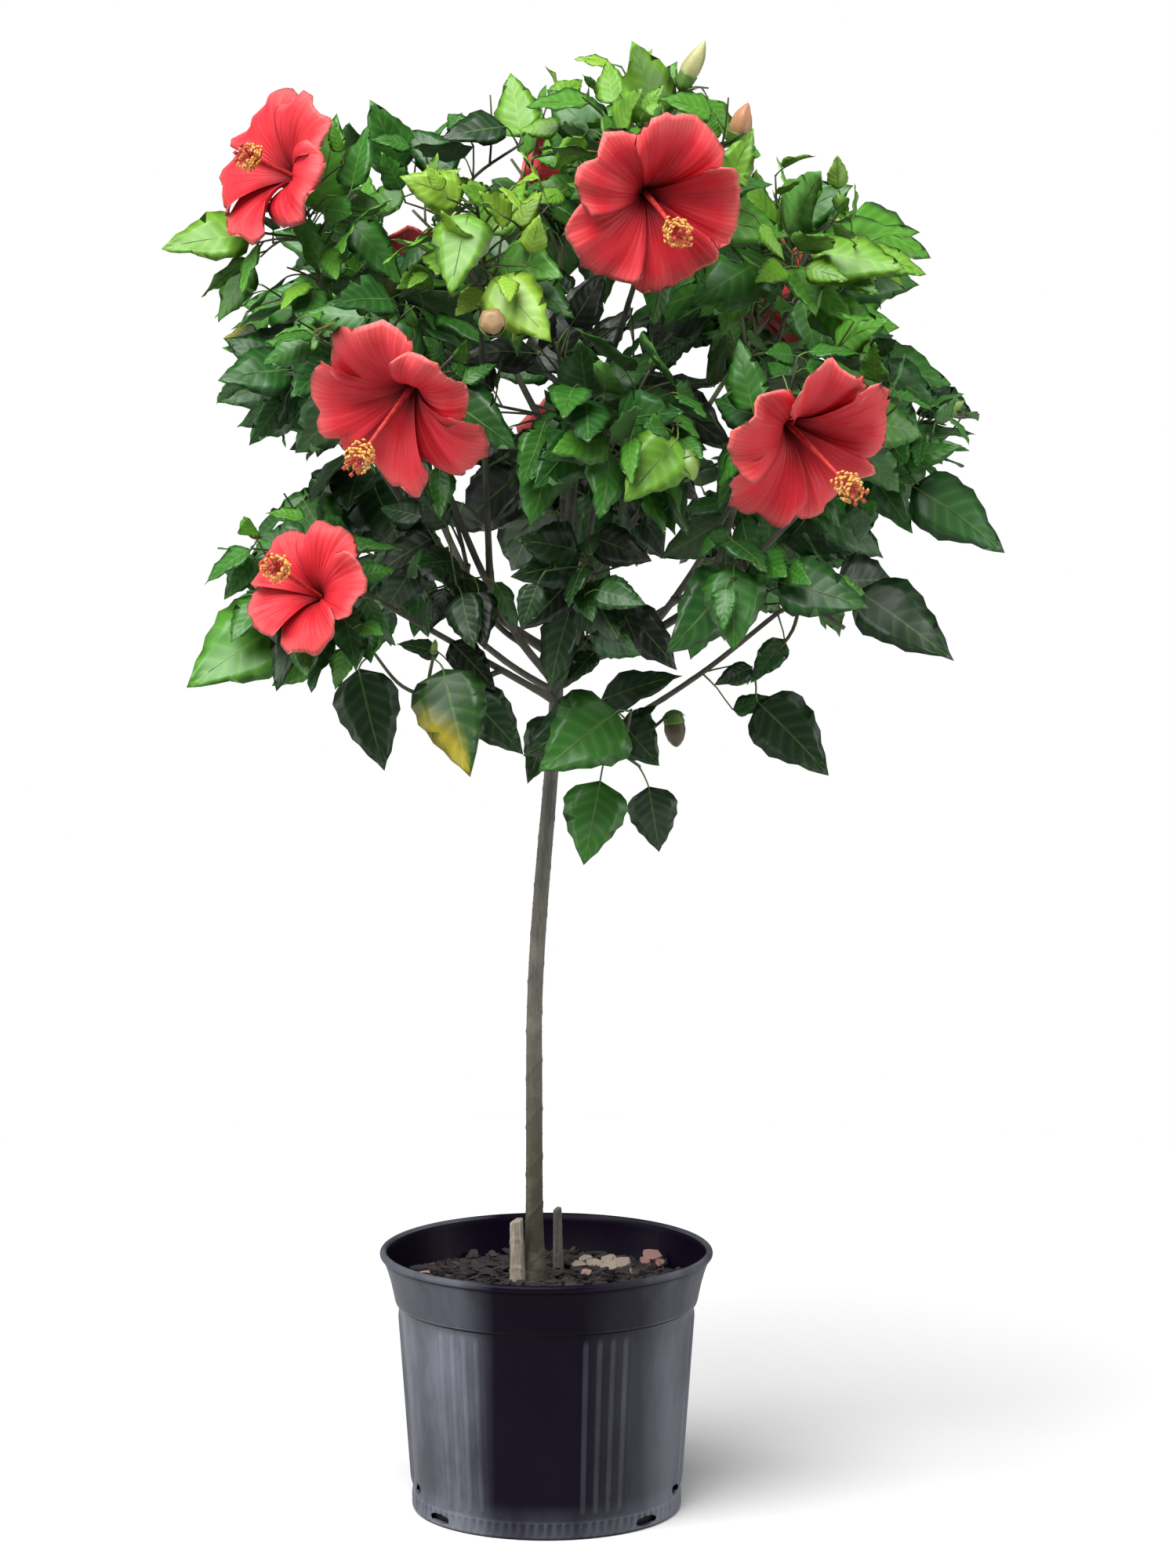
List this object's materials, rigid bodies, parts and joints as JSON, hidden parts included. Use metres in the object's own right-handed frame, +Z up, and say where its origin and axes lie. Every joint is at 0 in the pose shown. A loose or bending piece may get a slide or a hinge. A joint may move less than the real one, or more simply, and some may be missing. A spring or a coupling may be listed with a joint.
{
  "type": "potted hibiscus standard",
  "caption": "Hibiscus grown as a standard: one slender trunk, a round open crown of leaves and large blooms, rooted in a filled nursery pot.",
  "frame": {"origin": "centre of the flat underside of the pot", "axes": "+Z up along the pot and trunk; the side that carries most open blooms faces -Y"},
  "size_m": [0.6869, 0.6482, 1.2298],
  "materials": {
    "pot": "black moulded nursery plastic, slightly glossy",
    "potting_mix": "dark bark mulch",
    "bark": "smooth grey-brown bark",
    "cut_wood": "pale dry bark",
    "lime_foliage": "young lime leaves on thin twigs",
    "foliage": "mid green leaves on thin twigs",
    "deep_foliage": "deep green leaves on thin twigs"
  },
  "bodies": {
    "root": {"nursery_pot": "pot", "potting_soil": "potting_mix", "trunk": "bark", "cut_back_stem_front": "cut_wood", "cut_back_stem_back": "bark", "leader_bough": "bark", "left_bough": "bark", "right_bough": "bark", "front_bough": "bark", "back_bough": "bark", "front_left_bough": "bark", "left_low_bough": "bark", "right_outer_bough": "bark", "back_left_low_bough": "bark", "front_right_bough": "bark", "crest_left_bough": "bark", "front_high_bough": "bark", "back_top_bough": "bark", "heart_bough": "bark", "upper_left_bough": "bark", "back_left_bough": "bark", "front_top_bough": "bark", "low_left_bough": "bark", "upper_right_bough": "bark", "back_right_bough": "bark", "back_right_low_bough": "bark", "low_front_bough": "bark", "right_low_bough": "bark", "skirt_left_bough": "bark", "top_foliage": "lime_foliage", "crest_left_foliage": "lime_foliage", "upper_left_foliage": "lime_foliage", "front_high_foliage": "lime_foliage", "front_top_foliage": "lime_foliage", "upper_right_foliage": "foliage", "left_foliage": "foliage", "front_left_foliage": "foliage", "centre_foliage": "foliage", "heart_foliage": "foliage", "front_right_foliage": "foliage", "right_foliage": "foliage", "left_low_foliage": "deep_foliage", "low_left_foliage": "deep_foliage", "low_front_foliage": "deep_foliage", "right_low_foliage": "deep_foliage", "right_outer_foliage": "deep_foliage", "skirt_left_foliage": "deep_foliage", "skirt_right_foliage": "deep_foliage", "back_left_foliage": "foliage", "back_right_foliage": "foliage", "back_top_foliage": "lime_foliage", "back_low_foliage": "deep_foliage", "back_left_low_foliage": "deep_foliage", "back_right_low_foliage": "deep_foliage"}
  },
  "joints": []
}
